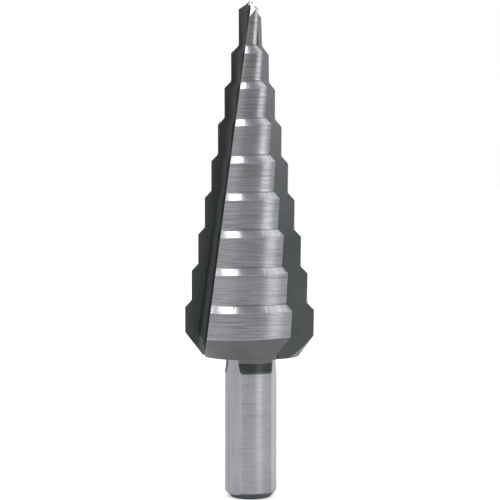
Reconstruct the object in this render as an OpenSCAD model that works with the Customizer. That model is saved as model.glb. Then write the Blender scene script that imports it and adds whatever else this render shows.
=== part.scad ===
// A step drill ground from one piece: stepped cutting body, waisted neck and a shank with three chuck flats.
// It stands on its shank end. The origin is the centre of that end face, and +Z runs up to the point.

/* [Overall] */
// Length from the shank end to the point
overall_length = 75; // [70:0.5:82]

/* [Steps] */
// Diameter of the smallest step, which the point is ground on
first_d = 3.7; // [3.5:0.1:4]
// Diameter of the second step
second_d = 6; // [5.6:0.1:6.2]
// How much each further step is wider than the one before
step_rise = 2; // [1.8:0.1:2]
// Number of steps, the smallest one counted
step_count = 9; // [8:1:9]
// Length from the full width of one step to the full width of the next, from the third step down
step_pitch = 5.5; // [5:0.1:5.6]
// Height of the slanted shoulder that leads into each step
shoulder_h = 1.05; // [0.9:0.05:1.3]
// Distance from the point to the full width of the second step
second_step_from_tip = 7.85; // [7:0.05:8]
// Distance from the point to the full width of the third step
third_step_from_tip = 13.05; // [12:0.05:13.5]
// Length of the widest step along its full width
last_step_len = 3.8; // [3:0.1:4.5]
// Length of the cone that closes the body behind the widest step
back_cone_h = 3.6; // [3:0.1:4]
// Radius of the rim where that cone ends
rim_r = 7.35; // [7:0.05:7.8]

/* [Land relief] */
// How far the ground surface of a land falls in towards the axis, a quarter turn behind its cutting edge
radial_relief = 0.38; // [0.2:0.02:0.5]
// How far each shoulder falls back towards the shank over the same quarter turn
axial_relief = 0.4; // [0.2:0.02:0.5]
// Steepest slope of either fall, which the narrow steps have
steepest_relief = 0.09; // [0.05:0.01:0.1]
// Direction of the front land's cutting edge, seen from the point
edge_azimuth = -52.6; // [-180:0.1:180]

/* [Flutes] */
// Number of flutes, which is also the number of lands
flute_count = 3; // [3:1:3]
// Angle between the two walls of the V
flute_angle = 61; // [56:1:64]
// Hook of the cutting face, measured from the edge's own radius
flute_hook = 22; // [20:1:25]
// Radius ground into the bottom of the V
flute_root_r = 1; // [0.8:0.05:1.2]
// Slope of the bottom of the V against the axis, rising to the surface at the rim
flute_lean = 7.54; // [7:0.02:7.8]
// Direction in which the bottom of the V climbs, behind the cutting edge
flute_lag = 8.7; // [7:0.1:11]
// Distance of the bottom of the V from the axis, at the level of the rim
flute_root_at_rim = 6.96; // [6.7:0.02:7.2]
// Sideways distance of the bottom of the V from the axis
flute_offset = 0.76; // [0.6:0.02:0.9]

/* [Point] */
// Height taken off the sharp point, which leaves a tiny flat
point_blunt_h = 0.04; // [0.02:0.01:0.1]
// Slope of the facet behind each lip
lip_slope = 36.5; // [33:0.5:40]
// Direction in which the lip facet falls, behind the cutting edge
lip_lag = 20; // [15:1:25]
// Slope of the steep facet that splits the point
split_slope = 61; // [56:1:64]
// Direction in which the split facet falls, behind the cutting edge
split_lag = 80; // [76:1:84]

/* [Neck and shank] */
// Diameter of the shank that the chuck grips
shank_d = 8; // [7.8:0.1:8.4]
// Radius of the groove that is turned under the body
neck_r = 3.8; // [3.7:0.05:3.9]
// Radius of the fillet that joins the neck to the underside of the body
neck_fillet_r = 1.3; // [1.1:0.1:1.5]
// Distance from the rim down to the centre of that fillet
neck_fillet_drop = 0.95; // [0.8:0.05:1.1]
// Distance from the rim to the lower edge of the groove
neck_len = 2.55; // [2.2:0.05:3]
// Height of the slanted lower wall of the groove
neck_wall_h = 0.35; // [0.2:0.05:0.5]
// Number of chuck flats
flat_count = 3; // [3:1:3]
// Distance of each chuck flat from the axis
flat_r = 3.67; // [3.6:0.01:3.75]
// Direction that the first chuck flat faces
flat_azimuth = -135; // [-180:1:180]
// Distance from the rim down to the top of each flat
flat_top_gap = 0.15; // [0.1:0.05:0.3]
// Radius that the grinding wheel leaves at the top of each flat
flat_runout_r = 0.7; // [0.5:0.1:1]
// Bevel around the shank end
end_bevel = 1; // [0.6:0.1:1.4]

/* [Hidden] */
$fn = 96;
turn = 360 / flute_count;
widest_r = step_r(step_count - 1);

// How far a cutting shape reaches past the body, and how far joined shapes reach into each other
reach = 40;
overlap = 1.5;

// Heights above the shank end
back_edge_z = shoulder_z(step_count - 1) - last_step_len;
rim_z = back_edge_z - back_cone_h;
neck_bottom_z = rim_z - neck_len;

// Radius gained per millimetre of height on a shoulder and on the back cone
shoulder_slope = (step_rise / 2) / shoulder_h;
back_slope = (widest_r - rim_r) / back_cone_h;

// Each land is a stack of off-centre cylinders, so its surface falls away behind the edge. Steps count from 0.
function step_r(i) = i == 0 ? first_d / 2 : second_d / 2 + (i - 1) * step_rise / 2;
function step_from_tip(i) = i == 1 ? second_step_from_tip : third_step_from_tip + (i - 2) * step_pitch;
function shoulder_z(i) = overall_length - step_from_tip(i);
function relief(i) = min(radial_relief, steepest_relief * step_r(i));
function ground_r(i) = sqrt(pow(step_r(i), 2) + pow(relief(i), 2));
function shoulder_tilt(i) = atan(min(axial_relief / step_r(i), steepest_relief));

// A cylinder of one step, from below its own shoulder down into the next step
module step_cylinder(i, top_z, bottom_z) {
    translate([0, relief(i), bottom_z])
        cylinder(r = ground_r(i), h = top_z - bottom_z);
}

// The shoulder's cone, which tips back around the cutting edge's own direction
module shoulder_cone(i) {
    point_h = ground_r(i) / shoulder_slope;
    skirt_h = 2;
    skirt_r = ground_r(i) + skirt_h * shoulder_slope;
    foot_h = max(step_pitch, last_step_len + back_cone_h) + overlap;
    translate([0, 0, shoulder_z(i)])
        rotate([shoulder_tilt(i), 0, 0])
            translate([0, relief(i), 0])
                rotate_extrude()
                    polygon([[0, -foot_h], [skirt_r, -foot_h], [skirt_r, -skirt_h], [0, point_h]]);
}

// The turned blank that the lands are ground from: a cone that opens upwards from the rim
module blank() {
    open_h = 2 * back_cone_h;
    rotate_extrude()
        polygon([
            [0, rim_z],
            [rim_r, rim_z],
            [rim_r + open_h * back_slope, rim_z + open_h],
            [rim_r + open_h * back_slope, overall_length],
            [0, overall_length]
        ]);
}

// One step with the shoulder above it. The first has none, because the point is ground on it.
module step(i) {
    top_z = shoulder_z(i) + step_r(i) / shoulder_slope;
    bottom_z = i < step_count - 1 ? shoulder_z(i + 1) - overlap : rim_z - overlap;
    if (i == 0)
        step_cylinder(i, overall_length + overlap, bottom_z);
    else
        intersection() {
            step_cylinder(i, min(top_z, shoulder_z(i - 1)), bottom_z);
            shoulder_cone(i);
        }
}

// The third of the body that one land may fill. It reaches a little into the next third, so the lands join.
module land_sector() {
    front = 7;
    middle = front - turn / 2;
    rear = front - turn;
    join = 0.15;
    corner = -join / sin(turn);
    linear_extrude(height = overall_length + reach / 2)
        polygon([
            [corner * cos(front), corner * sin(front)],
            [reach * cos(rear) + join * sin(rear), reach * sin(rear) - join * cos(rear)],
            [reach * cos(middle), reach * sin(middle)],
            [reach * cos(front), reach * sin(front)]
        ]);
}

// Everything above a slanted plane through the sharp point
module above_facet(lag, slope) {
    translate([0, 0, overall_length + point_blunt_h])
        rotate([0, 0, -lag])
            rotate([0, slope, 0])
                translate([-reach / 2, -reach / 2, 0])
                    cube([reach, reach, reach / 2]);
}

// A stack of steps under its own split facet
module land() {
    difference() {
        intersection() {
            union() {
                for (i = [0 : step_count - 1])
                    step(i);
            }
            land_sector();
        }
        above_facet(split_lag, split_slope);
    }
}

// The path of the grinding wheel: a V with a round bottom, straight but leaning, so it runs out at the rim
module flute() {
    half = flute_angle / 2;
    centre = flute_root_r / sin(half);
    tangent = flute_root_r / tan(half);
    run_past = 6;
    run = overall_length - rim_z + 2 * run_past;
    rotate([0, 0, -flute_lag])
        translate([flute_root_at_rim, -flute_offset, rim_z])
            rotate([0, -flute_lean, 0])
                translate([0, 0, -run_past])
                    rotate([0, 0, flute_lag + flute_hook + half])
                        linear_extrude(height = run)
                            union() {
                                translate([centre, 0])
                                    circle(r = flute_root_r);
                                polygon([
                                    [tangent * cos(half), -tangent * sin(half)],
                                    [reach * cos(half), -reach * sin(half)],
                                    [reach * cos(half), reach * sin(half)],
                                    [tangent * cos(half), tangent * sin(half)]
                                ]);
                            }
}

// The blank with its lands and flutes ground
module fluted_body() {
    difference() {
        intersection() {
            union() {
                for (k = [0 : flute_count - 1])
                    rotate([0, 0, edge_azimuth + k * turn])
                        land();
            }
            blank();
        }
        for (k = [0 : flute_count - 1])
            rotate([0, 0, edge_azimuth + k * turn])
                flute();
    }
}

// The fluted body with the lip facets ground on its point
module cutting_body() {
    difference() {
        fluted_body();
        for (k = [0 : flute_count - 1])
            rotate([0, 0, edge_azimuth + k * turn])
                above_facet(lip_lag, lip_slope);
    }
}

// Fillet, groove and shank as one turned outline
module shank_outline() {
    shank_r = shank_d / 2;
    fillet_z = rim_z - neck_fillet_drop;
    core_r = neck_r + neck_fillet_r / 2;
    top_z = rim_z + overlap;
    difference() {
        polygon([
            [0, 0],
            [shank_r - end_bevel, 0],
            [shank_r, end_bevel],
            [shank_r, neck_bottom_z],
            [neck_r, neck_bottom_z + neck_wall_h],
            [neck_r, fillet_z],
            [core_r, fillet_z],
            [core_r, top_z],
            [0, top_z]
        ]);
        translate([neck_r + neck_fillet_r, fillet_z])
            circle(r = neck_fillet_r);
    }
}

// What the wheel takes off for one chuck flat, with its own radius at the top
module flat_cut() {
    top_z = rim_z - flat_top_gap;
    rotate([90, 0, 0])
        linear_extrude(height = shank_d * 2, center = true)
            union() {
                translate([flat_r, -overlap])
                    square([reach, top_z - flat_runout_r + overlap]);
                translate([flat_r + flat_runout_r, -overlap])
                    square([reach, top_z + overlap]);
                translate([flat_r + flat_runout_r, top_z - flat_runout_r])
                    circle(r = flat_runout_r);
            }
}

module shank() {
    difference() {
        rotate_extrude()
            shank_outline();
        for (k = [0 : flat_count - 1])
            rotate([0, 0, flat_azimuth + k * 360 / flat_count])
                flat_cut();
    }
}

module step_drill() {
    color("#8a8c8f")
        union() {
            cutting_body();
            shank();
        }
}

step_drill();
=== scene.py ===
import math
from functools import partial
from typing import NamedTuple

import bmesh
import bpy
from bpy.props import FloatProperty, FloatVectorProperty, IntProperty, PointerProperty
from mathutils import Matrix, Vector


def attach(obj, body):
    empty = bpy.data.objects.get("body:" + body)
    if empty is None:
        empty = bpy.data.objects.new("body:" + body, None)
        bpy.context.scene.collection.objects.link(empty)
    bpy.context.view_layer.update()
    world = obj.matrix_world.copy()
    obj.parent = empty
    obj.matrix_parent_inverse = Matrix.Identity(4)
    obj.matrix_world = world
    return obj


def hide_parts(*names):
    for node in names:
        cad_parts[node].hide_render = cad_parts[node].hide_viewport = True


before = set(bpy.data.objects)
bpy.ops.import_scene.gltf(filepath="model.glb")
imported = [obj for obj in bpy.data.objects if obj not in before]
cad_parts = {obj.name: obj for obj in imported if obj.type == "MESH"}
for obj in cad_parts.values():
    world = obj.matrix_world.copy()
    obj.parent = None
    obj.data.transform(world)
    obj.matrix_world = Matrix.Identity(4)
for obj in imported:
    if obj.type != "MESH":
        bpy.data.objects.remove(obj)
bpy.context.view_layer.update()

bl_info = {
    "name": "Step drill",
    "version": (1, 0, 0),
    "blender": (4, 5, 0),
    "location": "3D View > Sidebar > Step drill",
    "description": "A step drill with relieved lands, V flutes and a split point, and its studio",
    "category": "Object",
}

MM = 0.001


# Sizes

class DrillSizes(bpy.types.PropertyGroup):
    """The drill's driving sizes, as in its construction, and three fine ones of its own"""

    overall_length: FloatProperty(
        name="Overall length", description="From the shank end to the point",
        default=75 * MM, subtype="DISTANCE", unit="LENGTH")
    first_d: FloatProperty(
        name="First step diameter", description="Diameter of the smallest step",
        default=3.7 * MM, subtype="DISTANCE", unit="LENGTH")
    second_d: FloatProperty(
        name="Second step diameter", description="Diameter of the second step",
        default=6 * MM, subtype="DISTANCE", unit="LENGTH")
    step_rise: FloatProperty(
        name="Step rise", description="How much each further step is wider than the one before",
        default=2 * MM, subtype="DISTANCE", unit="LENGTH")
    step_count: IntProperty(
        name="Steps", description="Number of steps", default=9, min=3, max=9)
    step_pitch: FloatProperty(
        name="Step pitch", description="From the full width of one step to that of the next",
        default=5.5 * MM, subtype="DISTANCE", unit="LENGTH")
    shoulder_h: FloatProperty(
        name="Shoulder height", description="Height of the slanted shoulder into each step",
        default=1.05 * MM, subtype="DISTANCE", unit="LENGTH")
    second_step_from_tip: FloatProperty(
        name="Second step", description="From the point to the full width of the second step",
        default=7.85 * MM, subtype="DISTANCE", unit="LENGTH")
    third_step_from_tip: FloatProperty(
        name="Third step", description="From the point to the full width of the third step",
        default=13.05 * MM, subtype="DISTANCE", unit="LENGTH")
    last_step_len: FloatProperty(
        name="Widest step length", description="Length of the widest step",
        default=3.8 * MM, subtype="DISTANCE", unit="LENGTH")
    back_cone_h: FloatProperty(
        name="Back cone height", description="Height of the cone behind the widest step",
        default=3.6 * MM, subtype="DISTANCE", unit="LENGTH")
    rim_r: FloatProperty(
        name="Rim radius", description="Radius where the back cone ends",
        default=7.35 * MM, subtype="DISTANCE", unit="LENGTH")
    radial_relief: FloatProperty(
        name="Radial relief", description="Fall of a land's surface a quarter turn behind its edge",
        default=0.38 * MM, subtype="DISTANCE", unit="LENGTH")
    axial_relief: FloatProperty(
        name="Axial relief", description="Fall of a shoulder over the same quarter turn",
        default=0.4 * MM, subtype="DISTANCE", unit="LENGTH")
    steepest_relief: FloatProperty(
        name="Steepest relief", description="Steepest slope of either fall", default=0.09)
    edge_azimuth: FloatProperty(
        name="Cutting edge direction", description="Direction of the front land's cutting edge",
        default=math.radians(-52.6), subtype="ANGLE")
    flute_angle: FloatProperty(
        name="Flute angle", description="Angle between the walls of the V",
        default=math.radians(61), subtype="ANGLE")
    flute_hook: FloatProperty(
        name="Flute hook", description="Hook of the cutting face",
        default=math.radians(22), subtype="ANGLE")
    flute_root_r: FloatProperty(
        name="Flute root radius", description="Radius in the bottom of the V",
        default=1 * MM, subtype="DISTANCE", unit="LENGTH")
    flute_lean: FloatProperty(
        name="Flute lean", description="Slope of the bottom of the V against the axis",
        default=math.radians(7.54), subtype="ANGLE")
    flute_lag: FloatProperty(
        name="Flute lag", description="Direction in which the bottom of the V climbs",
        default=math.radians(8.7), subtype="ANGLE")
    flute_root_at_rim: FloatProperty(
        name="Flute root at rim", description="Distance of the V's bottom from the axis at the rim",
        default=6.96 * MM, subtype="DISTANCE", unit="LENGTH")
    flute_offset: FloatProperty(
        name="Flute offset", description="Sideways distance of the V's bottom from the axis",
        default=0.76 * MM, subtype="DISTANCE", unit="LENGTH")
    point_blunt_h: FloatProperty(
        name="Point blunting", description="Height taken off the sharp point",
        default=0.04 * MM, subtype="DISTANCE", unit="LENGTH")
    lip_slope: FloatProperty(
        name="Lip slope", description="Slope of the facet behind each lip",
        default=math.radians(36.5), subtype="ANGLE")
    lip_lag: FloatProperty(
        name="Lip lag", description="Direction in which the lip facet falls",
        default=math.radians(20), subtype="ANGLE")
    split_slope: FloatProperty(
        name="Split slope", description="Slope of the facet that splits the point",
        default=math.radians(61), subtype="ANGLE")
    split_lag: FloatProperty(
        name="Split lag", description="Direction in which the split facet falls",
        default=math.radians(80), subtype="ANGLE")
    shank_r: FloatProperty(
        name="Shank radius", description="Radius of the shank",
        default=4 * MM, subtype="DISTANCE", unit="LENGTH")
    neck_r: FloatProperty(
        name="Neck radius", description="Radius of the groove under the body",
        default=3.8 * MM, subtype="DISTANCE", unit="LENGTH")
    neck_fillet_r: FloatProperty(
        name="Neck fillet", description="Radius of the fillet under the body",
        default=1.3 * MM, subtype="DISTANCE", unit="LENGTH")
    neck_fillet_drop: FloatProperty(
        name="Neck fillet drop", description="From the rim down to the centre of that fillet",
        default=0.95 * MM, subtype="DISTANCE", unit="LENGTH")
    neck_len: FloatProperty(
        name="Neck length", description="From the rim to the lower edge of the groove",
        default=2.55 * MM, subtype="DISTANCE", unit="LENGTH")
    neck_wall_h: FloatProperty(
        name="Neck wall", description="Height of the groove's slanted lower wall",
        default=0.35 * MM, subtype="DISTANCE", unit="LENGTH")
    neck_taper: FloatProperty(
        name="Neck taper", description="How much the groove widens down to that wall",
        default=0.1 * MM, subtype="DISTANCE", unit="LENGTH")
    flat_r: FloatProperty(
        name="Flat distance", description="Distance of a chuck flat from the axis",
        default=3.67 * MM, subtype="DISTANCE", unit="LENGTH")
    flat_azimuth: FloatProperty(
        name="Flat direction", description="Direction that the first chuck flat faces",
        default=math.radians(-135), subtype="ANGLE")
    flat_top_gap: FloatProperty(
        name="Flat top gap", description="From the rim down to the top of each flat",
        default=0.15 * MM, subtype="DISTANCE", unit="LENGTH")
    flat_runout_r: FloatProperty(
        name="Flat run-out", description="Radius at the top of each flat",
        default=0.7 * MM, subtype="DISTANCE", unit="LENGTH")
    end_bevel: FloatProperty(
        name="End bevel", description="Bevel around the shank end",
        default=1 * MM, subtype="DISTANCE", unit="LENGTH")
    wheel_corner: FloatProperty(
        name="Wheel corner",
        description="Width rounded by the wheel's own corner between a land and its shoulder",
        default=0.2 * MM, subtype="DISTANCE", unit="LENGTH")
    edge_break: FloatProperty(
        name="Edge break", description="Width of the fine bevel that catches light along the edges",
        default=0.03 * MM, subtype="DISTANCE", unit="LENGTH")


# The drill's surfaces, worked out from the sizes

# Which finish each surface has
FINISH_OF = {
    "land": "ground_land", "shoulder": "ground_shoulder",
    "rake": "cutting_face", "root": "flute_root", "heel": "flute_wall",
    "lip": "lip_facet", "split": "split_facet",
    "back_cone": "turned_cone", "underside": "turned_cone", "fillet": "turned_cone",
    "neck": "turned_neck", "groove_wall": "neck_wall",
    "shank": "ground_shank", "flat": "milled_flat",
    "end_bevel": "turned_end", "end_face": "turned_end",
    "edge": "fresh_edge", "corner": "wheel_corner",
}
SURFACES = list(FINISH_OF)
FINISH_NAMES = sorted(set(FINISH_OF.values()))

# Lands, with as many flutes and chuck flats, and the angle from one to the next
LANDS = 3
TURN = 2 * math.pi / LANDS

# Faces around a third of the cutting body: over its land, then down the cutting face, through the
# round bottom and up the far wall of its flute
LAND_COLUMNS = 40
RAKE_COLUMNS = 5
ROOT_COLUMNS = 8
HEEL_COLUMNS = 5
FLUTE_COLUMNS = RAKE_COLUMNS + ROOT_COLUMNS + HEEL_COLUMNS

# How many of the round bottom's columns end on the lip facet, at the point
LIP_COLUMNS = 4

# Faces around a third of the shank: over its chuck flat, then round to the next
FLAT_COLUMNS = 6
ARC_COLUMNS = 28

# Faces down the back cone, down the fillet, and where a chuck flat runs out
CONE_RINGS = 12
FILLET_RINGS = 8
RUNOUT_RINGS = 8

# Faces across a wheel corner and across an edge break
CORNER_SEGMENTS = 3
BREAK_SEGMENTS = 2

# Where a land's own third begins, ahead of its cutting edge, and the width of the steep wall that
# stands there at the point
LAND_FRONT = math.radians(7)
WALL_W = 0.01 * MM

# The least that the ridge of the point keeps from either end of its land, in columns
RIDGE_MARGIN = 2

# The least share of the V's outline that the columns of either wall cover
WALL_SHARE = 0.2

# From the lowest point of the widest step down to the first level ring of the back cone
CONE_START = 0.2 * MM

# Rounds of each search, enough for its result to stand still
HALVINGS = 60
THIRDINGS = 80
SHOULDER_ROUNDS = 12
MEETING_ROUNDS = 14
FACET_ROUNDS = 10

# How far a search goes along the V's outline, in radii of the widest step and in half lengths of
# the round bottom, and how far under the rim
FAR = 3
NEAR = 4
UNDER_RIM = 2 * MM

# Points closer together than this are one, and a shank ring's height has this many decimals.
MERGE = 1e-7
HEIGHT_DECIMALS = 9

# The web in the middle of the point isn't bevelled, and neither is an edge that turns less than
# this angle.
WEB_R = 0.6 * MM
WEB_H = 1.2 * MM
SHARP_ANGLE = math.radians(14)


def turned(p, a):
    """The point turned about the drill's axis"""
    c, s = math.cos(a), math.sin(a)
    return Vector((p[0] * c - p[1] * s, p[0] * s + p[1] * c, p[2] if len(p) > 2 else 0.0))


def root_of(f, a, b):
    """Where f changes sign between a and b"""
    fa = f(a)
    if fa * f(b) > 0:
        raise RuntimeError("two of the drill's surfaces don't meet; its sizes don't fit together")
    for _ in range(HALVINGS):
        m = (a + b) / 2
        fm = f(m)
        if fa * fm <= 0:
            b = m
        else:
            a, fa = m, fm
    return (a + b) / 2


def divided(stops, parts):
    """Values from the first stop to the last, with so many even parts between each two"""
    values = []
    for a, b, n in zip(stops, stops[1:], parts):
        values += [a + (b - a) * j / n for j in range(n)]
    return values + [stops[-1]]


def arc(start, end, r, c, height, ridge=None):
    """Points clockwise from start to end, about the centre (0, c), each at its own height

    ridge is a column and the angle at which it lies.
    """
    a, b = math.atan2(start.y - c, start.x), math.atan2(end.y - c, end.x)
    if b > a:
        b -= 2 * math.pi
    stops, parts = (a, b), (LAND_COLUMNS,)
    if ridge:
        column, angle = ridge
        stops, parts = (a, angle, b), (column, LAND_COLUMNS - column)
    points = []
    for t in divided(stops, parts):
        q = Vector((r * math.cos(t), c + r * math.sin(t), 0.0))
        q.z = height(q)
        points.append(q)
    return points


class DrillShape:
    """The drill in the frame of one land, whose cutting edge points along +X. Steps count from 0"""

    def __init__(self, s):
        self.s = s
        self.last = s.step_count - 1
        self.top = s.overall_length
        self.sharp = s.overall_length + s.point_blunt_h
        self.rim_z = self.shoulder_z(self.last) - s.last_step_len - s.back_cone_h
        self.widest_r = self.step_r(self.last)
        self.far = FAR * self.widest_r
        self.shoulder_slope = (s.step_rise / 2) / s.shoulder_h
        self.back_slope = (self.widest_r - s.rim_r) / s.back_cone_h
        self.half = s.flute_angle / 2
        self.root_centre = s.flute_root_r / math.sin(self.half)
        self.tangent = s.flute_root_r / math.tan(self.half)
        self.root_half_len = s.flute_root_r * (math.pi / 2 - self.half)

    def step_r(self, i):
        s = self.s
        return s.first_d / 2 if i == 0 else s.second_d / 2 + (i - 1) * s.step_rise / 2

    def relief(self, i):
        return min(self.s.radial_relief, self.s.steepest_relief * self.step_r(i))

    def ground_r(self, i):
        return math.hypot(self.step_r(i), self.relief(i))

    def shoulder_z(self, i):
        s = self.s
        if i == 1:
            return self.top - s.second_step_from_tip
        return self.top - (s.third_step_from_tip + (i - 2) * s.step_pitch)

    def flute_point(self, along, z):
        """A point on the flute's wall at height z

        along is its place on the V's outline, 0 at the bottom and negative on the cutting face.
        """
        s = self.s
        side = -1 if along < 0 else 1
        beyond = abs(along) - self.root_half_len
        if beyond > 0:
            reach = self.tangent + beyond
            px, py = reach * math.cos(self.half), side * reach * math.sin(self.half)
        else:
            a = math.pi - along / s.flute_root_r
            px = self.root_centre + s.flute_root_r * math.cos(a)
            py = s.flute_root_r * math.sin(a)
        p = turned((px, py), s.flute_lag + s.flute_hook + self.half)
        sin_lean, cos_lean = math.sin(s.flute_lean), math.cos(s.flute_lean)
        up = (z - self.rim_z - p.x * sin_lean) / cos_lean
        x = s.flute_root_at_rim + p.x * cos_lean - up * sin_lean
        return turned((x, p.y - s.flute_offset, z), -s.flute_lag)

    def shoulder_height(self, i, q):
        """Height of shoulder i's tipped cone over the point q"""
        s = self.s
        r, m = self.ground_r(i), self.shoulder_slope
        tilt = math.atan(min(s.axial_relief / self.step_r(i), s.steepest_relief))
        ct, st = math.cos(tilt), math.sin(tilt)

        def gap(h):
            y = q.y * ct + h * st
            return math.hypot(q.x, y - self.relief(i)) - (r - m * (-q.y * st + h * ct))

        h = 0.0
        for _ in range(SHOULDER_ROUNDS):
            h -= gap(h) / m
        return self.shoulder_z(i) + h

    def facet_height(self, q, lag, slope):
        return self.sharp - math.tan(slope) * (q.x * math.cos(lag) - q.y * math.sin(lag))

    def lip_height(self, q):
        return self.facet_height(q, self.s.lip_lag, self.s.lip_slope)

    def split_height(self, q):
        return self.facet_height(q, self.s.split_lag, self.s.split_slope)

    def point_height(self, q):
        return min(self.top, self.lip_height(q), self.split_height(q))

    def cone_r(self, z):
        return self.s.rim_r + (z - self.rim_z) * self.back_slope

    def cone_height(self, q):
        return self.rim_z + (math.hypot(q.x, q.y) - self.s.rim_r) / self.back_slope

    def ridge_angle(self):
        """Direction of the ridge between the lip facet and the split facet"""
        s = self.s
        a, b = math.tan(s.lip_slope), math.tan(s.split_slope)
        return math.atan2(
            b * math.cos(s.split_lag) - a * math.cos(s.lip_lag),
            b * math.sin(s.split_lag) - a * math.sin(s.lip_lag))

    def meet(self, i, height, side):
        """Where a ring on step i's cylinder meets the cutting face, side -1, or the heel, side 1"""
        r, c = self.ground_r(i), self.relief(i)
        turn_back = 0.0 if side < 0 else -TURN
        z = height(Vector((r, 0.0, 0.0)))

        def wall_point(along):
            return turned(self.flute_point(along, z), turn_back)

        def outside(along):
            q = wall_point(along)
            return math.hypot(q.x, q.y - c) - r

        for _ in range(MEETING_ROUNDS):
            along = root_of(outside, 0.0, side * self.far)
            q = wall_point(along)
            z = height(q)
        q.z = z
        return along, q

    def land_arc(self, i, height, start, end, ridge=None):
        """A ring's points on step i's land, from the cutting edge to the heel"""
        return arc(start, end, self.ground_r(i), self.relief(i), height, ridge)

    def level_arc(self, z, start, end):
        """A level ring's points on the back cone, from the cutting edge to the heel"""
        return arc(start, end, self.cone_r(z), 0.0, lambda q: z)

    def ridge_column(self, edge, heel):
        """The column of the first ring on the ridge, and its angle about the land's centre"""
        r, c, a = self.ground_r(0), self.relief(0), self.ridge_angle()
        ux, uy = math.cos(a), math.sin(a)
        out = c * uy + math.sqrt((c * uy) ** 2 - c * c + r * r)
        angle = math.atan2(out * uy - c, out * ux)
        start, end = math.atan2(edge.y - c, edge.x), math.atan2(heel.y - c, heel.x)
        column = round(LAND_COLUMNS * (angle - start) / (end - start))
        return min(max(column, RIDGE_MARGIN), LAND_COLUMNS - RIDGE_MARGIN), angle

    def flute_top(self, edge_at, heel_at):
        """The flute's outline at the point

        It runs along the lip facet, down a steep wall and along the split facet of the land ahead.
        """
        start, end = -self.root_half_len, self.root_half_len

        def lifted(t, facet):
            z = self.top
            for _ in range(FACET_ROUNDS):
                z = min(self.top, facet(self.flute_point(t, z)))
            return self.flute_point(t, z)

        def ahead(t):
            q = lifted(t, self.lip_height)
            return math.atan2(q.y, q.x) - LAND_FRONT

        def land_ahead(q):
            return self.point_height(turned(q, -TURN))

        wall_at = root_of(ahead, start, end)
        lip = divided((edge_at, start, wall_at), (RAKE_COLUMNS, LIP_COLUMNS))
        after_wall = (ROOT_COLUMNS - LIP_COLUMNS - 1, HEEL_COLUMNS)
        split = divided((wall_at + WALL_W, end, heel_at), after_wall)
        return [lifted(t, self.lip_height) for t in lip] + [lifted(t, land_ahead) for t in split]

    def beyond_cone(self, along, z):
        """How far the flute's wall lies outside the back cone there, or inside it where negative"""
        q = self.flute_point(along, z)
        return math.hypot(q.x, q.y) - self.cone_r(z)

    def deepest(self, z):
        """The place on the V's outline that is furthest inside the back cone at this height"""
        lo, hi = -NEAR * self.root_half_len, NEAR * self.root_half_len
        for _ in range(THIRDINGS):
            a, b = lo + (hi - lo) / 3, hi - (hi - lo) / 3
            if self.beyond_cone(a, z) < self.beyond_cone(b, z):
                hi = b
            else:
                lo = a
        return (lo + hi) / 2

    def run_out_z(self, start_z):
        """The height at which the flute leaves the back cone, or would below the rim"""
        return root_of(
            lambda z: self.beyond_cone(self.deepest(z), z), self.rim_z - UNDER_RIM, start_z)

    def cone_meet(self, z, closed):
        """Where the flute's walls meet the back cone at this height"""
        middle = self.deepest(z)
        if closed:
            return middle, middle
        out = partial(self.beyond_cone, z=z)
        return root_of(out, middle, -self.far), root_of(out, middle, self.far)

    def flute_places(self, a, b):
        """Places on the V's outline from a to b, closer together in its round bottom"""
        wall = WALL_SHARE * (b - a)
        a2 = min(max(-self.root_half_len, a + wall), b)
        b2 = max(min(self.root_half_len, b - wall), a2)
        return divided((a, a2, b2, b), (RAKE_COLUMNS, ROOT_COLUMNS, HEEL_COLUMNS))


class Ring(NamedTuple):
    """A third of a ring around the cutting body, in the frame of its land"""

    land: list  # points from the cutting edge back to the heel
    flute: list  # points from the cutting edge across the flute to the heel ahead


def point_ring(shape):
    """The ring around the facets of the point, and its column on the ridge between them"""
    height = shape.point_height
    edge_at, edge = shape.meet(0, height, -1)
    heel_at, heel = shape.meet(0, height, 1)
    ridge = shape.ridge_column(edge, heel)
    land = shape.land_arc(0, height, edge, heel, ridge)
    return Ring(land, shape.flute_top(edge_at, heel_at)), ridge[0]


def step_ring(shape, i, height):
    """A ring around step i, at the height that is given over each of its points"""
    edge_at, edge = shape.meet(i, height, -1)
    heel_at, heel = shape.meet(i, height, 1)
    flute = []
    for t in shape.flute_places(edge_at, heel_at):
        share = (t - edge_at) / (heel_at - edge_at)
        flute.append(shape.flute_point(t, edge.z + (heel.z - edge.z) * share))
    return Ring(shape.land_arc(i, height, edge, heel), flute)


def step_rings(shape):
    """The rings above and below each shoulder, and the one at the edge of the back cone"""
    rings = []
    for i in range(1, shape.last + 1):
        height = partial(shape.shoulder_height, i)
        rings += [step_ring(shape, i - 1, height), step_ring(shape, i, height)]
    return rings + [step_ring(shape, shape.last, shape.cone_height)]


def cone_rings(shape, start_z):
    """Level rings down the back cone to the rim, closer together towards where the flute ends"""
    rings = []
    exit_z = shape.run_out_z(start_z)
    low = max(exit_z, shape.rim_z)
    for j in range(CONE_RINGS + 1):
        z = low + (start_z - low) * (1 - j / CONE_RINGS) ** 2
        edge_at, heel_at = shape.cone_meet(z, j == CONE_RINGS and exit_z > shape.rim_z)
        edge = shape.flute_point(edge_at, z)
        heel = turned(shape.flute_point(heel_at, z), -TURN)
        flute = [shape.flute_point(t, z) for t in shape.flute_places(edge_at, heel_at)]
        rings.append(Ring(shape.level_arc(z, edge, heel), flute))
    if exit_z > shape.rim_z:
        edge = rings[-1].flute[0] * (shape.s.rim_r / shape.cone_r(exit_z))
        edge.z = shape.rim_z
        land = shape.level_arc(shape.rim_z, edge, turned(edge, -TURN))
        rings.append(Ring(land, [edge] * (FLUTE_COLUMNS + 1)))
    return rings


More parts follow.
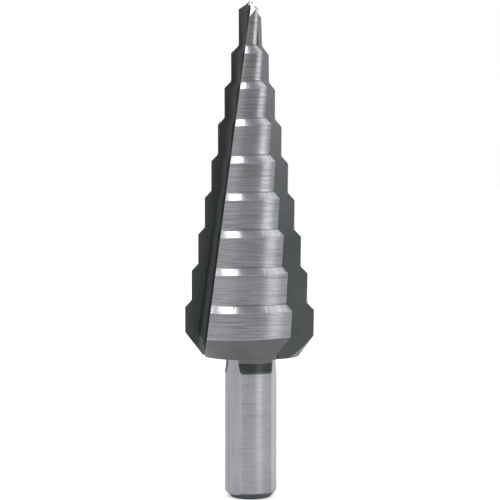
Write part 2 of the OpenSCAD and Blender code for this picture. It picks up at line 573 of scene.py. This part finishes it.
class Solid:
    """A mesh in the making, whose faces know which surface of the drill they are"""

    def __init__(self):
        self.bm = bmesh.new()
        self.region = self.bm.faces.layers.int.new("region")

    def mark(self, faces, surface):
        """Tells faces which surface they are"""
        for f in faces:
            f[self.region] = SURFACES.index(surface)
            f.smooth = True

    def face(self, verts, surface):
        self.mark([self.bm.faces.new(verts)], surface)

    def ring(self, points):
        return [self.bm.verts.new(p) for p in points]

    def band(self, upper, lower, surfaces):
        """Joins two rings by faces, whose surfaces repeat around the drill"""
        n = len(upper)
        for j in range(n):
            k = (j + 1) % n
            self.face((upper[j], lower[j], lower[k], upper[k]), surfaces[j % len(surfaces)])

    def bevel(self, edges, width, segments, surface):
        """Rounds edges by faces of their own surface"""
        made = bmesh.ops.bevel(
            self.bm, geom=edges, offset=width, offset_type="OFFSET", segments=segments,
            profile=0.5, affect="EDGES", clamp_overlap=False, material=-1)
        self.mark(made["faces"], surface)


def add_cutting_body(solid, shape):
    """Adds the lands, flutes, back cone and point"""
    first, ridge_column = point_ring(shape)
    steps = [first] + step_rings(shape)
    lowest = min(q.z for q in steps[-1].land)
    rings = steps + cone_rings(shape, lowest - CONE_START)
    loops = []
    for ring in rings:
        points = []
        for k in range(LANDS):
            a = shape.s.edge_azimuth + k * TURN
            points += [turned(q, a) for q in reversed(ring.land)]
            points += [turned(q, a) for q in ring.flute[1:-1]]
        loops.append(solid.ring(points))
    flute = ["rake"] * RAKE_COLUMNS + ["root"] * ROOT_COLUMNS + ["heel"] * HEEL_COLUMNS
    for i in range(len(loops) - 1):
        outer = "back_cone"
        if i < len(steps) - 1:
            outer = "shoulder" if i % 2 else "land"
        solid.band(loops[i], loops[i + 1], [outer] * LAND_COLUMNS + flute)
    add_point(solid, shape, loops[0], LAND_COLUMNS - ridge_column)


def add_point(solid, shape, top, ridge):
    """Adds each lip facet, the steep wall ahead of it and the split facet of the land ahead"""
    third = LAND_COLUMNS + FLUTE_COLUMNS
    centre = solid.bm.verts.new((0, 0, shape.top))
    for k in range(LANDS):
        wall = k * third + LAND_COLUMNS + RAKE_COLUMNS + LIP_COLUMNS
        for start, end, surface in (
                (k * third + ridge, wall, "lip"),
                (wall, wall + 1, "split"),
                (wall + 1, (k + 1) * third + ridge, "split")):
            outline = [top[j % len(top)] for j in range(start, end + 1)]
            solid.face([centre] + outline, surface)


def shank_profile(shape):
    """Heights, radii and surfaces of the shank's turned outline, from the rim down to the end"""
    s = shape.s
    centre_r, centre_z = s.neck_r + s.neck_fillet_r, shape.rim_z - s.neck_fillet_drop
    start = math.asin(s.neck_fillet_drop / s.neck_fillet_r)
    rows = []
    for j in range(FILLET_RINGS + 1):
        a = start * (1 - j / FILLET_RINGS)
        z = centre_z + s.neck_fillet_r * math.sin(a)
        rows.append((z, centre_r - s.neck_fillet_r * math.cos(a), "fillet"))
    low = shape.rim_z - s.neck_len
    rows.append((low + s.neck_wall_h, s.neck_r + s.neck_taper, "neck"))
    rows.append((low, s.shank_r, "groove_wall"))
    rows.append((s.end_bevel, s.shank_r, "shank"))
    rows.append((0.0, s.shank_r - s.end_bevel, "end_bevel"))
    return rows


def add_shank(solid, shape):
    """Adds the fillet, the neck, the shank with its chuck flats and the end"""
    s = shape.s
    rows = shank_profile(shape)
    flat_top = shape.rim_z - s.flat_top_gap
    runout_z = flat_top - s.flat_runout_r

    def outline_r(z):
        for (z1, r1, _), (z2, r2, _) in zip(rows, rows[1:]):
            if z2 <= z <= z1:
                return r1 + (r2 - r1) * (z1 - z) / (z1 - z2)
        return rows[0][1]

    def flat_at(z):
        if z <= runout_z:
            return s.flat_r
        rise = min(1.0, (z - runout_z) / s.flat_runout_r)
        return s.flat_r + s.flat_runout_r * (1 - math.sqrt(1 - rise * rise))

    meets = root_of(lambda z: flat_at(z) - outline_r(z), runout_z, flat_top)
    vanish = s.end_bevel - (s.shank_r - s.flat_r)
    heights = [z for z, _, _ in rows]
    for j in range(RUNOUT_RINGS + 1):
        share = (j / RUNOUT_RINGS) ** 2
        heights += [meets - (meets - runout_z) * share, vanish + (s.end_bevel - vanish) * share]
    heights = sorted({round(z, HEIGHT_DECIMALS) for z in heights}, reverse=True)
    loops = []
    for z in heights:
        r, f = outline_r(z), flat_at(z)
        half = math.acos(min(1.0, f / r)) if vanish < z < meets else 0.0
        points = []
        for k in range(LANDS):
            a = s.flat_azimuth + k * TURN
            for j in range(FLAT_COLUMNS):
                y = r * math.sin(half) * (2 * j / FLAT_COLUMNS - 1)
                points.append(turned((f if half else r, y, z), a))
            for j in range(ARC_COLUMNS):
                t = half + (TURN - 2 * half) * j / ARC_COLUMNS
                points.append(turned((r, 0, z), a + t))
        loops.append(solid.ring(points))
    for i in range(len(loops) - 1):
        middle = (heights[i] + heights[i + 1]) / 2
        turned_part = next(
            name for (low, _, name), (high, _, _) in zip(rows[1:], rows) if low <= middle <= high)
        solid.band(loops[i], loops[i + 1], ["flat"] * FLAT_COLUMNS + [turned_part] * ARC_COLUMNS)
    solid.face(loops[-1], "end_face")


def close_underside(solid):
    """Fills the ring between the rim and the fillet"""
    open_edges = [e for e in solid.bm.edges if len(e.link_faces) == 1]
    made = bmesh.ops.triangle_fill(solid.bm, use_beauty=True, edges=open_edges)
    solid.mark((f for f in made["geom"] if isinstance(f, bmesh.types.BMFace)), "underside")


def round_corners(solid, shape):
    """The radius that the wheel's own corner leaves between a land and the shoulder under it"""
    pair = {SURFACES.index("land"), SURFACES.index("shoulder")}
    corners = []
    for e in solid.bm.edges:
        if {f[solid.region] for f in e.link_faces} == pair and e.calc_face_angle_signed() < 0:
            corners.append(e)
    solid.bevel(corners, shape.s.wheel_corner, CORNER_SEGMENTS, "corner")


def break_edges(solid, shape):
    """Bevels every edge between two surfaces by a hair, apart from the web of the point"""
    sharp = []
    for e in solid.bm.edges:
        if len(e.link_faces) != 2:
            raise RuntimeError("the drill's mesh isn't closed")
        a, b = (f[solid.region] for f in e.link_faces)
        middle = (e.verts[0].co + e.verts[1].co) / 2
        in_web = middle.z > shape.top - WEB_H and math.hypot(middle.x, middle.y) < WEB_R
        if a != b and e.calc_face_angle() > SHARP_ANGLE and not in_web:
            sharp.append(e)
    solid.bevel(sharp, shape.s.edge_break, BREAK_SEGMENTS, "edge")


def region_normals(mesh):
    """A normal for each corner, smooth within its own surface, so only the fine bevels turn"""
    region = [d.value for d in mesh.attributes["region"].data]
    sums = [{} for _ in mesh.vertices]
    for f in mesh.polygons:
        r = region[f.index]
        for v in f.vertices:
            sums[v][r] = sums[v].get(r, Vector()) + f.normal * f.area
    rounded = {SURFACES.index("edge"), SURFACES.index("corner")}
    normals = []
    for f in mesh.polygons:
        for v in f.vertices:
            r = region[f.index]
            others = [q for q in sums[v] if q not in rounded]
            if r in rounded and len(others) == 1:
                r = others[0]
            normals.append(sums[v][r].normalized())
    return normals


def drill_mesh(sizes):
    """The whole drill as one closed mesh, with a material index for each face"""
    shape = DrillShape(sizes)
    solid = Solid()
    add_cutting_body(solid, shape)
    add_shank(solid, shape)
    bm = solid.bm
    bmesh.ops.remove_doubles(bm, verts=bm.verts, dist=MERGE)
    bmesh.ops.dissolve_degenerate(bm, edges=bm.edges, dist=MERGE)
    close_underside(solid)
    bmesh.ops.recalc_face_normals(bm, faces=bm.faces)
    round_corners(solid, shape)
    break_edges(solid, shape)
    for f in bm.faces:
        f.material_index = FINISH_NAMES.index(FINISH_OF[SURFACES[f[solid.region]]])
    mesh = bpy.data.meshes.new("drill_body")
    bm.to_mesh(mesh)
    bm.free()
    mesh.normals_split_custom_set(region_normals(mesh))
    return mesh


# Nodes

# A Mix node's first input, second input and result, for numbers and for colours
MIX_SOCKETS = {"FLOAT": (2, 3, 0), "RGBA": (6, 7, 2)}


def empty_tree(owner):
    """The node tree of a material or world, with nothing in it yet"""
    owner.use_nodes = True
    owner.node_tree.nodes.clear()
    return owner.node_tree


def add_node(tree, kind, inputs=None, **settings):
    """A node with its inputs filled in, by values or by other nodes' outputs"""
    n = tree.nodes.new(kind)
    for name, value in settings.items():
        setattr(n, name, value)
    for name, value in (inputs or {}).items():
        if isinstance(value, bpy.types.NodeSocket):
            tree.links.new(value, n.inputs[name])
        else:
            n.inputs[name].default_value = value
    return n


def calc(tree, operation, *values, clamp=False):
    """The result of a Math node"""
    inputs = dict(enumerate(values))
    return add_node(
        tree, "ShaderNodeMath", inputs, operation=operation, use_clamp=clamp).outputs[0]


def mix(tree, factor, a, b, kind="FLOAT", **settings):
    """The result of a Mix node, which is a at factor 0 and b at factor 1"""
    first, second, result = MIX_SOCKETS[kind]
    inputs = {"Factor": factor, first: a, second: b}
    return add_node(tree, "ShaderNodeMix", inputs, data_type=kind, **settings).outputs[result]


def remap(tree, value, span=(0.0, 1.0), ends=(0.0, 1.0), **settings):
    """A value that goes from one end to the other while the given one crosses the span"""
    return add_node(tree, "ShaderNodeMapRange", {
        "Value": value, "From Min": span[0], "From Max": span[1],
        "To Min": ends[0], "To Max": ends[1]}, **settings).outputs[0]


def noise(tree, place, scale, detail=1.0):
    """The value of a noise texture"""
    return add_node(tree, "ShaderNodeTexNoise", {
        "Vector": place, "Scale": scale, "Detail": detail}).outputs["Fac"]


def new_group(name, inputs, outputs):
    """A shader node group with named inputs, their defaults, and named outputs"""
    g = bpy.data.node_groups.new(name, "ShaderNodeTree")
    for title, kind, default in inputs:
        socket = g.interface.new_socket(title, in_out="INPUT", socket_type=kind)
        if default is not None:
            socket.default_value = default
    for title, kind in outputs:
        g.interface.new_socket(title, in_out="OUTPUT", socket_type=kind)
    return g, add_node(g, "NodeGroupInput"), add_node(g, "NodeGroupOutput")


# Steel finishes

# Which way the marks of a finish run, and how many there are to a metre along X, Y and Z. Radial
# ones are counted over the direction from the axis instead.
AROUND, ALONG, RADIAL = "around", "along", "radial"
STRETCH = {AROUND: (200, 200, 5600), ALONG: (3600, 3600, 90), RADIAL: (30, 30, 30)}

# Where a finish takes the greenish slate colour instead of the steel colour
ALL_STEEL, SLATE_BELOW, ALL_SLATE = "nowhere", "below", "all over"

# A finish has its low brightness up to the first of these heights in metres and its high one from
# the second. That change with height is painted light and shade up the flutes, and a little painted
# shade up the lands.
PAINTED_SHADE_HEIGHTS = (0.038, 0.070)

# The wheel's lines: how closely the fine and the wide ones lie, and the share of the wide ones
FINE_SCALE = 1.0
WIDE_SCALE = 0.55
WIDE_SHARE = 0.3

# Spans of the noise over which lines go from dark to light, over which a thin line fades out on
# either side of the middle, and over which a deep cut sinks
LINE_SPAN = (0.38, 0.62)
NOISE_MIDDLE = 0.5
THIN_SPAN = (0.0, 0.05)
THIN_DEPTH = 0.8
DEEP_SPAN = (0.56, 0.72)

# Depth of those cuts against the lines, and how much rougher the steel is between the lines
DEEPER = 0.6
ROUGHER = 0.05

# Patches of the handling film to a metre, and the span of their noise from bare to covered
PATCHES = 260.0
PATCH_DETAIL = 1.5
PATCH_SPAN = (0.3, 0.75)

# Turns the gloss from along the marks to across them
QUARTER_TURN = 0.25


class Finish(NamedTuple):
    """How one kind of surface was worked"""

    marks: str  # which way they run
    low: float  # brightness low down on the drill, which on some surfaces is painted light and shade
    high: float  # brightness high up on the drill, which on some surfaces is painted light and shade
    oil: str  # where it takes the greenish slate colour instead of the steel colour
    metal: float  # share of bare metal
    roughness: float
    depth: float  # height of the marks in metres
    gloss_follows: float  # how far the gloss is drawn out across the marks
    lines: float  # how far the marks show in the colour


FINISHES = {
    "ground_land": Finish(AROUND, 0.64, 0.62, ALL_STEEL, 1.0, 0.29, 10e-6, 0.5, 0.7),
    "ground_shoulder": Finish(RADIAL, 0.90, 0.90, ALL_STEEL, 1.0, 0.20, 4e-6, 0.0, 0.35),
    # The flutes are dark partly from a dark film and partly from painted shade, and their change of
    # brightness with height is painted light and shade.
    "cutting_face": Finish(ALONG, 0.25, 0.07, SLATE_BELOW, 0.45, 0.50, 2e-6, 0.0, 0.15),
    "flute_root": Finish(ALONG, 0.13, 0.17, SLATE_BELOW, 0.7, 0.40, 3e-6, 0.0, 0.2),
    "flute_wall": Finish(ALONG, 0.165, 0.45, SLATE_BELOW, 0.85, 0.40, 3e-6, 0.0, 0.2),
    "lip_facet": Finish(ALONG, 0.9, 0.9, ALL_STEEL, 1.0, 0.30, 2e-6, 0.0, 0.3),
    "split_facet": Finish(ALONG, 1.1, 1.1, ALL_STEEL, 1.0, 0.25, 2e-6, 0.0, 0.15),
    # This brightness is painted shade on the back cone, the underside and the fillet.
    "turned_cone": Finish(AROUND, 0.29, 0.29, ALL_STEEL, 1.0, 0.42, 3e-6, 0.3, 0.1),
    "turned_neck": Finish(AROUND, 0.16, 0.16, ALL_SLATE, 0.9, 0.35, 14e-6, 0.3, 1.4),
    "neck_wall": Finish(AROUND, 0.28, 0.28, ALL_SLATE, 0.8, 0.45, 6e-6, 0.0, 0.8),
    "ground_shank": Finish(AROUND, 0.73, 0.73, ALL_STEEL, 1.0, 0.26, 4e-6, 0.5, 0.22),
    "milled_flat": Finish(ALONG, 0.70, 0.70, ALL_STEEL, 1.0, 0.33, 3e-6, 0.2, 0.2),
    "turned_end": Finish(AROUND, 0.34, 0.34, ALL_SLATE, 1.0, 0.36, 3e-6, 0.3, 0.2),
    "fresh_edge": Finish(AROUND, 1.0, 1.0, ALL_STEEL, 1.0, 0.50, 1e-6, 0.0, 0.1),
    "wheel_corner": Finish(AROUND, 0.66, 0.66, ALL_STEEL, 1.0, 0.30, 3e-6, 0.3, 0.4),
}


class DrillFinish(bpy.types.PropertyGroup):
    """Colours of the steel"""

    steel: FloatVectorProperty(
        name="Steel", description="Colour of the ground steel",
        default=(0.535, 0.54, 0.57), size=3, min=0, max=1, subtype="COLOR")
    # Greenish colour for the flutes low down, the neck, its wall and the end. It hardly darkens the
    # steel: their darkness comes from the finishes' brightnesses, which in the flutes are partly
    # painted shade.
    slate: FloatVectorProperty(
        name="Oiled steel", description="Colour of the steel where grinding oil has darkened it",
        default=(0.505, 0.555, 0.57), size=3, min=0, max=1, subtype="COLOR")
    tarnish: FloatVectorProperty(
        name="Tarnish", description="How a film from handling darkens each colour",
        default=(0.62, 0.63, 0.615), size=3, min=0, max=1, subtype="COLOR")
    film: FloatProperty(
        name="Film", description="How much of that film there is",
        default=0.35, min=0, max=1, subtype="FACTOR")


def wheel_marks():
    """Fine parallel lines with a few deeper ones among them"""
    name = "wheel_marks"
    if name in bpy.data.node_groups:
        return bpy.data.node_groups[name]
    g, given, out = new_group(
        name,
        [("Place", "NodeSocketVector", None), ("Deeper", "NodeSocketFloat", DEEPER)],
        [("Lines", "NodeSocketFloat"), ("Height", "NodeSocketFloat")])
    fine = noise(g, given.outputs["Place"], FINE_SCALE)
    wide = noise(g, given.outputs["Place"], WIDE_SCALE)
    soft = remap(g, mix(g, WIDE_SHARE, fine, wide), LINE_SPAN)
    off = calc(g, "ABSOLUTE", calc(g, "SUBTRACT", wide, NOISE_MIDDLE))
    thin = remap(g, off, THIN_SPAN, (THIN_DEPTH, 0.0))
    lines = calc(g, "SUBTRACT", soft, thin, clamp=True)
    cut = calc(g, "MULTIPLY", remap(g, wide, DEEP_SPAN), given.outputs["Deeper"])
    g.links.new(lines, out.inputs["Lines"])
    g.links.new(calc(g, "SUBTRACT", lines, cut), out.inputs["Height"])
    return g


def handling_film():
    """Soft patches of a thin film"""
    name = "handling_film"
    if name in bpy.data.node_groups:
        return bpy.data.node_groups[name]
    g, given, out = new_group(
        name,
        [("Place", "NodeSocketVector", None), ("Patches", "NodeSocketFloat", PATCHES)],
        [("Film", "NodeSocketFloat")])
    patches = noise(g, given.outputs["Place"], given.outputs["Patches"], PATCH_DETAIL)
    g.links.new(remap(g, patches, PATCH_SPAN), out.inputs["Film"])
    return g


def steel_material(name, finish):
    """One of the drill's finishes"""
    f = FINISHES[name]
    m = bpy.data.materials.new(name)
    tree = empty_tree(m)
    place = add_node(tree, "ShaderNodeTexCoord").outputs["Object"]
    way = place
    if f.marks == RADIAL:
        for operation, inputs in (("MULTIPLY", {1: (1, 1, 0)}), ("NORMALIZE", {})):
            way = add_node(
                tree, "ShaderNodeVectorMath", {0: way, **inputs}, operation=operation).outputs[0]
    stretched = add_node(tree, "ShaderNodeMapping", {"Vector": way, "Scale": STRETCH[f.marks]})
    marks = add_node(
        tree, "ShaderNodeGroup", {"Place": stretched.outputs[0], "Deeper": DEEPER},
        node_tree=wheel_marks())
    film = add_node(
        tree, "ShaderNodeGroup", {"Place": place, "Patches": PATCHES}, node_tree=handling_film())
    lines = marks.outputs["Lines"]

    # The low and high brightnesses, blended by height. They hold painted shade on the flutes, the
    # back cone, the underside and the fillet, and their change with height is painted light and
    # shade.
    low = [c * f.low for c in (finish.steel if f.oil == ALL_STEEL else finish.slate)]
    high = [c * f.high for c in (finish.slate if f.oil == ALL_SLATE else finish.steel)]
    height = add_node(tree, "ShaderNodeSeparateXYZ", {0: place}).outputs["Z"]
    steel_and_painted_shade = mix(tree, remap(tree, height, PAINTED_SHADE_HEIGHTS), (*low, 1), (*high, 1), "RGBA")
    shade = remap(tree, lines, ends=(0.0, f.lines))
    worn = calc(tree, "MULTIPLY_ADD", film.outputs["Film"], finish.film, shade, clamp=True)
    colour = mix(tree, worn, steel_and_painted_shade, (*finish.tarnish, 1), "RGBA", blend_type="MULTIPLY")
    rough = remap(tree, lines, ends=(f.roughness, f.roughness + ROUGHER))
    bump = add_node(tree, "ShaderNodeBump", {
        "Height": marks.outputs["Height"], "Strength": 1.0, "Distance": f.depth})
    steel = add_node(tree, "ShaderNodeBsdfPrincipled", {
        "Base Color": colour, "Metallic": f.metal, "Roughness": rough, "Normal": bump.outputs[0],
        "Anisotropic": f.gloss_follows, "Anisotropic Rotation": QUARTER_TURN})
    add_node(tree, "ShaderNodeOutputMaterial", {"Surface": steel.outputs[0]})
    return m


# The stage

class StageSettings(bpy.types.PropertyGroup):
    """The studio around the drill"""

    floor_colour: FloatVectorProperty(
        name="Floor", description="Colour of the floor",
        default=(0.9, 0.9, 0.9), size=3, min=0, max=1, subtype="COLOR")
    surroundings: FloatProperty(
        name="Surroundings", description="How bright the room looks in the steel",
        default=0.45, min=0, max=2)
    room_light: FloatProperty(
        name="Room light", description="How much the room lights the floor",
        default=0.9, min=0, max=3)
    boxes: FloatProperty(
        name="Soft boxes", description="Brightness of the soft boxes", default=2.4, min=0, max=20)


# How the room looks in the steel, dimmer behind the camera and brighter on the left: the axis of
# the direction looked in, where along it a change begins and ends, and the brightness there
ROOM_CHANGES = [("Y", (-1.0, -0.75), (0.60, 1.0)), ("X", (-0.85, -0.45), (2.3, 1.0))]

# The same for how much of the white backdrop shows, behind the drill and not overhead, and the
# brightness that is white
BACKDROP_CHANGES = [("Y", (0.25, 0.7), (0.0, 1.0)), ("Z", (0.5, 0.8), (1.0, 0.0))]
WHITE = 1.0

# What the soft boxes face, how far they stand from it, and their power for a brightness of 1 and
# a square metre
BOX_TARGET = Vector((0, 0, 0.045))
BOX_DISTANCE = 0.6
BOX_POWER = 4


class SoftBox(NamedTuple):
    """A soft box, and the direction from the drill to it"""

    name: str
    right: float  # degrees round to the right from the camera's side
    up: float  # degrees above the floor
    width: float
    height: float
    share: float  # of the soft boxes' brightness


SOFT_BOXES = [
    SoftBox("side_box", 38, 14, 0.24, 0.55, 0.75),
    SoftBox("top_left_box", -100, 63, 0.25, 0.19, 1.0),
    SoftBox("point_box", -108, 40, 0.14, 0.12, 1.3),
    SoftBox("back_box", 152, 20, 0.3, 0.3, 0.9),
    SoftBox("top_right_box", 86, 69, 0.24, 0.22, 0.36),
    SoftBox("right_box", 64, 16, 0.28, 0.4, 0.07),
]

# Half a side of the floor in metres, its grain to a metre, the grain's height, and how much the
# floor glows for the camera
FLOOR_HALF = 3.0
GRAIN = 900.0
GRAIN_DETAIL = 2.0
GRAIN_HEIGHT = 5e-5
FLOOR_GLOW = 0.35

# The camera of the photograph: its place in metres, how far it looks down in degrees, its lens and
# sensor in millimetres, and the nearest and furthest that it sees
CAMERA_PLACE = (-0.000114, -0.25129, 0.05064)
CAMERA_PITCH = 2.99
LENS = 119.616
SENSOR = 36
CLIP = (0.01, 20)


def add_soft_box(box, brightness):
    """A soft box that faces the drill and stays out of the picture"""
    lamp = bpy.data.lights.new(box.name, "AREA")
    lamp.shape = "RECTANGLE"
    lamp.size, lamp.size_y = box.width, box.height
    lamp.energy = BOX_POWER * brightness * box.share * box.width * box.height
    stand = bpy.data.objects.new(box.name, lamp)
    a, e = math.radians(box.right), math.radians(box.up)
    away = Vector((math.sin(a) * math.cos(e), -math.cos(a) * math.cos(e), math.sin(e)))
    stand.location = BOX_TARGET + away * BOX_DISTANCE
    stand.rotation_euler = away.to_track_quat("Z", "Y").to_euler()
    stand.visible_camera = False
    bpy.context.scene.collection.objects.link(stand)


def add_world(stage):
    """White for the camera. The steel sees a room with a white backdrop behind the drill"""
    world = bpy.data.worlds.new("studio_room")
    bpy.context.scene.world = world
    tree = empty_tree(world)
    way = add_node(tree, "ShaderNodeTexCoord").outputs["Generated"]
    axes = add_node(tree, "ShaderNodeSeparateXYZ", {0: way}).outputs

    def change(axis, span, ends):
        return remap(tree, axes[axis], span, ends, interpolation_type="SMOOTHSTEP")

    room = stage.surroundings
    for side in ROOM_CHANGES:
        room = calc(tree, "MULTIPLY", change(*side), room)
    backdrop = calc(tree, "MULTIPLY", *(change(*side) for side in BACKDROP_CHANGES))
    shine = mix(tree, backdrop, room, WHITE)
    path = add_node(tree, "ShaderNodeLightPath")
    lit = mix(tree, path.outputs["Is Glossy Ray"], stage.room_light, shine)
    seen = mix(tree, path.outputs["Is Camera Ray"], lit, WHITE)
    sky = add_node(tree, "ShaderNodeBackground", {"Color": (1, 1, 1, 1), "Strength": seen})
    add_node(tree, "ShaderNodeOutputWorld", {"Surface": sky.outputs[0]})


def add_floor(stage):
    """A pale floor that runs out of sight and keeps the drill's shadow"""
    bm = bmesh.new()
    bmesh.ops.create_grid(bm, x_segments=2, y_segments=2, size=FLOOR_HALF)
    mesh = bpy.data.meshes.new("studio_floor")
    bm.to_mesh(mesh)
    bm.free()
    floor = bpy.data.objects.new("studio_floor", mesh)
    bpy.context.scene.collection.objects.link(floor)
    m = bpy.data.materials.new("pale_floor")
    tree = empty_tree(m)
    place = add_node(tree, "ShaderNodeTexCoord").outputs["Object"]
    bump = add_node(tree, "ShaderNodeBump", {
        "Height": noise(tree, place, GRAIN, GRAIN_DETAIL),
        "Strength": 0.1, "Distance": GRAIN_HEIGHT})
    path = add_node(tree, "ShaderNodeLightPath")
    glow = calc(tree, "MULTIPLY", path.outputs["Is Camera Ray"], FLOOR_GLOW)
    paint = add_node(tree, "ShaderNodeBsdfPrincipled", {
        "Base Color": (*stage.floor_colour, 1), "Roughness": 0.8, "Normal": bump.outputs[0],
        "Emission Color": (1, 1, 1, 1), "Emission Strength": glow})
    add_node(tree, "ShaderNodeOutputMaterial", {"Surface": paint.outputs[0]})
    mesh.materials.append(m)


def add_camera():
    """The camera at the place and angle of the photograph"""
    data = bpy.data.cameras.new("camera")
    data.sensor_width = SENSOR
    data.lens = LENS
    data.clip_start, data.clip_end = CLIP
    camera = bpy.data.objects.new("camera", data)
    camera.location = CAMERA_PLACE
    camera.rotation_euler = (math.radians(90 - CAMERA_PITCH), 0, 0)
    bpy.context.scene.collection.objects.link(camera)
    bpy.context.scene.camera = camera


# Operators and panel

class STEP_DRILL_OT_body(bpy.types.Operator):
    """Builds the step drill in ground steel"""

    bl_idname = "step_drill.body"
    bl_label = "Drill"

    def execute(self, context):
        scene = context.scene
        body = bpy.data.objects.new("drill_body", drill_mesh(scene.drill_sizes))
        for name in FINISH_NAMES:
            body.data.materials.append(steel_material(name, scene.drill_finish))
        scene.collection.objects.link(body)
        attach(body, "root")
        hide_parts("step_drill")
        return {"FINISHED"}


class STEP_DRILL_OT_stage(bpy.types.Operator):
    """Builds the floor, the room, the soft boxes and the camera"""

    bl_idname = "step_drill.stage"
    bl_label = "Stage"

    def execute(self, context):
        scene = context.scene
        stage = scene.drill_stage
        scene.view_settings.view_transform = "Standard"
        add_world(stage)
        add_floor(stage)
        for box in SOFT_BOXES:
            add_soft_box(box, stage.boxes)
        add_camera()
        return {"FINISHED"}


class STEP_DRILL_PT_panel(bpy.types.Panel):
    """Sizes, finish and stage, with the operators that build from them"""

    bl_label = "Step drill"
    bl_idname = "STEP_DRILL_PT_panel"
    bl_space_type = "VIEW_3D"
    bl_region_type = "UI"
    bl_category = "Step drill"

    def draw(self, context):
        scene = context.scene
        for title, group, operator in (
                ("Sizes", scene.drill_sizes, None),
                ("Finish", scene.drill_finish, "step_drill.body"),
                ("Stage", scene.drill_stage, "step_drill.stage")):
            box = self.layout.box()
            box.label(text=title)
            for name in group.__annotations__:
                box.prop(group, name)
            if operator:
                box.operator(operator)


CLASSES = (
    DrillSizes, DrillFinish, StageSettings,
    STEP_DRILL_OT_body, STEP_DRILL_OT_stage, STEP_DRILL_PT_panel,
)


def register():
    for c in CLASSES:
        bpy.utils.register_class(c)
    bpy.types.Scene.drill_sizes = PointerProperty(type=DrillSizes)
    bpy.types.Scene.drill_finish = PointerProperty(type=DrillFinish)
    bpy.types.Scene.drill_stage = PointerProperty(type=StageSettings)


def unregister():
    del bpy.types.Scene.drill_stage
    del bpy.types.Scene.drill_finish
    del bpy.types.Scene.drill_sizes
    for c in reversed(CLASSES):
        bpy.utils.unregister_class(c)


def main():
    register()
    bpy.ops.step_drill.body()
    bpy.ops.step_drill.stage()


if __name__ == "__main__":
    main()
